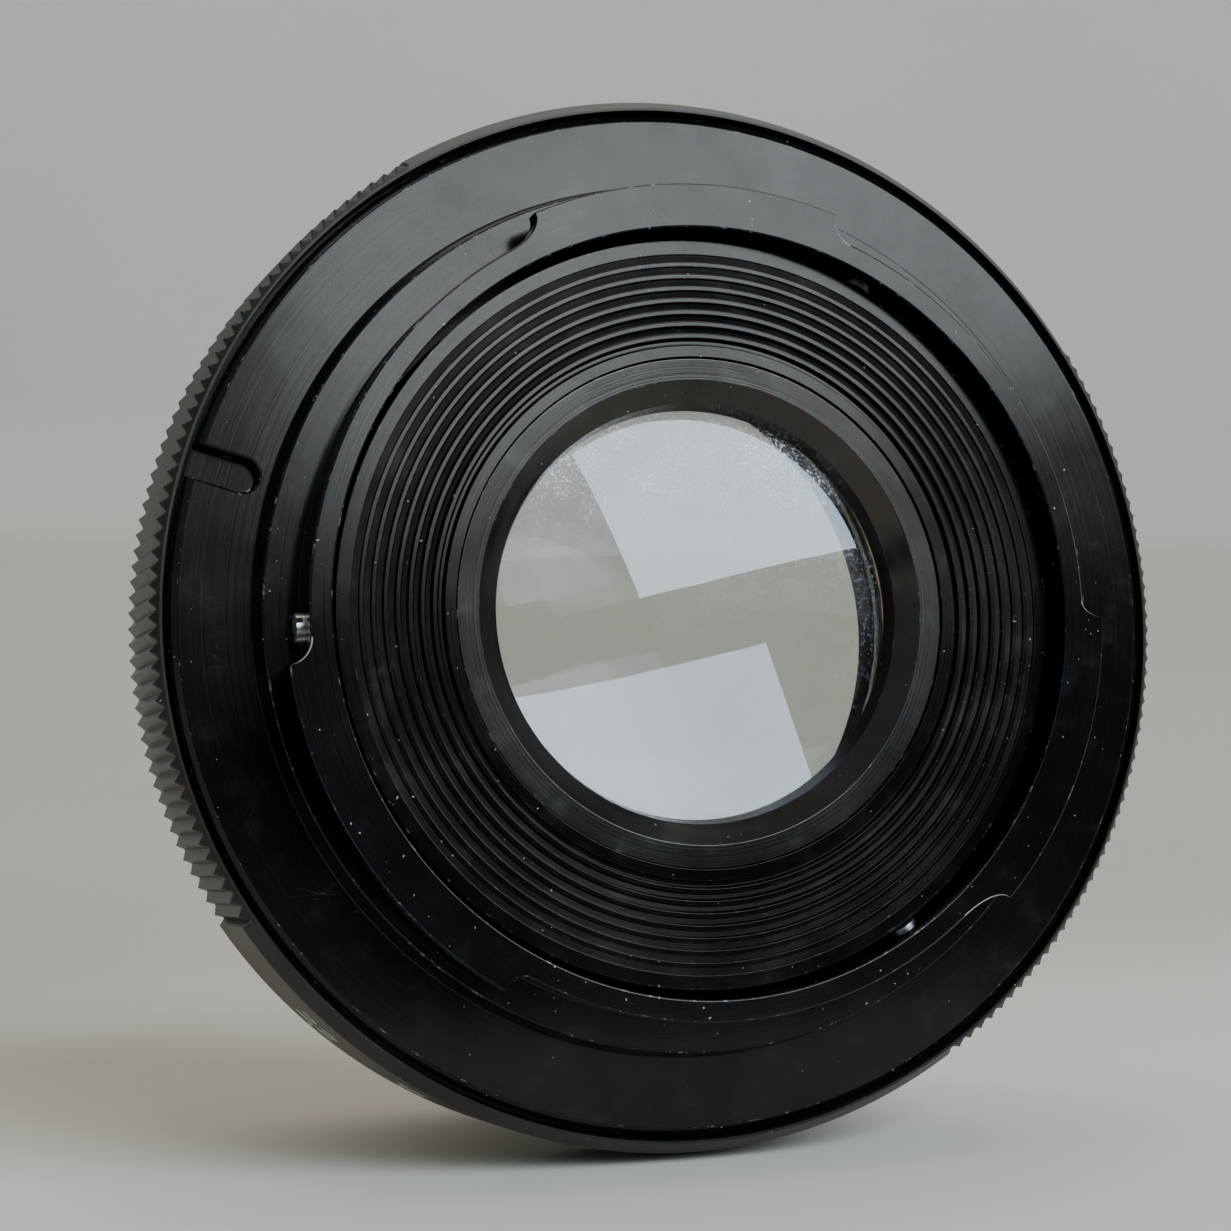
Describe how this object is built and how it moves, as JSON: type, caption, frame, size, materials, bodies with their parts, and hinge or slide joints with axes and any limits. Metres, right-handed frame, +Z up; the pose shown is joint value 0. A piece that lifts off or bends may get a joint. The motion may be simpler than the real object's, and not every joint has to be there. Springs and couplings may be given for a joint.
{
  "type": "enlarger lens",
  "caption": "Black-anodised enlarger lens on a three-lug bayonet mount, with a knurled click-stop aperture ring, an iris, grooved rear cell and recessed front cell.",
  "frame": {"origin": "centre of the mount flange's seating face, on the optical axis", "axes": "+Y along the optical axis towards the front of the lens, so the bayonet points along -Y; +X is to the right seen from behind; +Z is up"},
  "size_m": [0.0608, 0.0322, 0.061],
  "materials": {
    "mount_anodised": "black anodised, satin, turned",
    "ring_anodised": "black anodised, knurled grip",
    "barrel_black": "black anodised, satin, turned",
    "cell_black": "black anodised, matt, anti-reflection grooves",
    "retainer_black": "black anodised, semi-gloss",
    "front_trim": "black anodised with engraved scale",
    "glass": "polished optical glass, single coated",
    "screw_steel": "slotted steel, worn",
    "pin_steel": "ground steel",
    "blade_steel": "blackened spring steel",
    "brass": "turned brass"
  },
  "bodies": {
    "barrel": {"bayonet_mount": "mount_anodised", "mount_set_screw_1": "screw_steel", "mount_set_screw_2": "screw_steel", "mount_set_screw_3": "screw_steel", "rear_cell": "cell_black", "rear_lens_retainer": "retainer_black", "rear_crown_element": "glass", "rear_flint_element": "glass", "main_barrel": "barrel_black", "click_spring": "pin_steel", "iris_pivot_plate": "cell_black", "iris_lock_ring": "brass", "front_cell": "barrel_black", "middle_element": "glass", "front_element": "glass", "front_spacer_ring": "cell_black", "front_lens_retainer": "retainer_black", "front_trim_ring": "front_trim", "filter_ring": "barrel_black"},
    "aperture_control": {"aperture_ring": "ring_anodised", "aperture_coupling_pin": "pin_steel", "iris_cam_ring": "brass"},
    "blade_1": {"iris_blade_1": "blade_steel"},
    "blade_2": {"iris_blade_2": "blade_steel"},
    "blade_3": {"iris_blade_3": "blade_steel"},
    "blade_4": {"iris_blade_4": "blade_steel"},
    "blade_5": {"iris_blade_5": "blade_steel"},
    "blade_6": {"iris_blade_6": "blade_steel"},
    "click_ball": {"click_ball": "pin_steel"}
  },
  "joints": [
    {"name": "aperture_turn", "type": "hinge", "parent": "barrel", "child": "aperture_control", "pos_m": [0, 0, 0], "axis": [0, -1, 0], "range_deg": [0, 60]},
    {"name": "blade_1_turn", "type": "hinge", "parent": "barrel", "child": "blade_1", "pos_m": [0.0202, 0.0081, 0], "axis": [0, -1, 0], "range_deg": [0, 26.1]},
    {"name": "blade_2_turn", "type": "hinge", "parent": "barrel", "child": "blade_2", "pos_m": [0.0101, 0.0083, 0.01749], "axis": [0, -1, 0], "range_deg": [0, 26.1]},
    {"name": "blade_3_turn", "type": "hinge", "parent": "barrel", "child": "blade_3", "pos_m": [-0.0101, 0.0085, 0.01749], "axis": [0, -1, 0], "range_deg": [0, 26.1]},
    {"name": "blade_4_turn", "type": "hinge", "parent": "barrel", "child": "blade_4", "pos_m": [-0.0202, 0.0087, 0], "axis": [0, -1, 0], "range_deg": [0, 26.1]},
    {"name": "blade_5_turn", "type": "hinge", "parent": "barrel", "child": "blade_5", "pos_m": [-0.0101, 0.0089, -0.01749], "axis": [0, -1, 0], "range_deg": [0, 26.1]},
    {"name": "blade_6_turn", "type": "hinge", "parent": "barrel", "child": "blade_6", "pos_m": [0.0101, 0.0091, -0.01749], "axis": [0, -1, 0], "range_deg": [0, 26.1]},
    {"name": "click_ball_slide", "type": "slide", "parent": "barrel", "child": "click_ball", "axis": [0, 0, 1], "range_m": [-0.00015, 0.0001], "stiffness_N_per_m": 400, "deforming": ["click_spring"]}
  ],
  "couplings": [
    {"joint": "blade_1_turn", "follows": "aperture_turn", "ratio": 0.43333},
    {"joint": "blade_2_turn", "follows": "aperture_turn", "ratio": 0.43333},
    {"joint": "blade_3_turn", "follows": "aperture_turn", "ratio": 0.43333},
    {"joint": "blade_4_turn", "follows": "aperture_turn", "ratio": 0.43333},
    {"joint": "blade_5_turn", "follows": "aperture_turn", "ratio": 0.43333},
    {"joint": "blade_6_turn", "follows": "aperture_turn", "ratio": 0.43333}
  ]
}
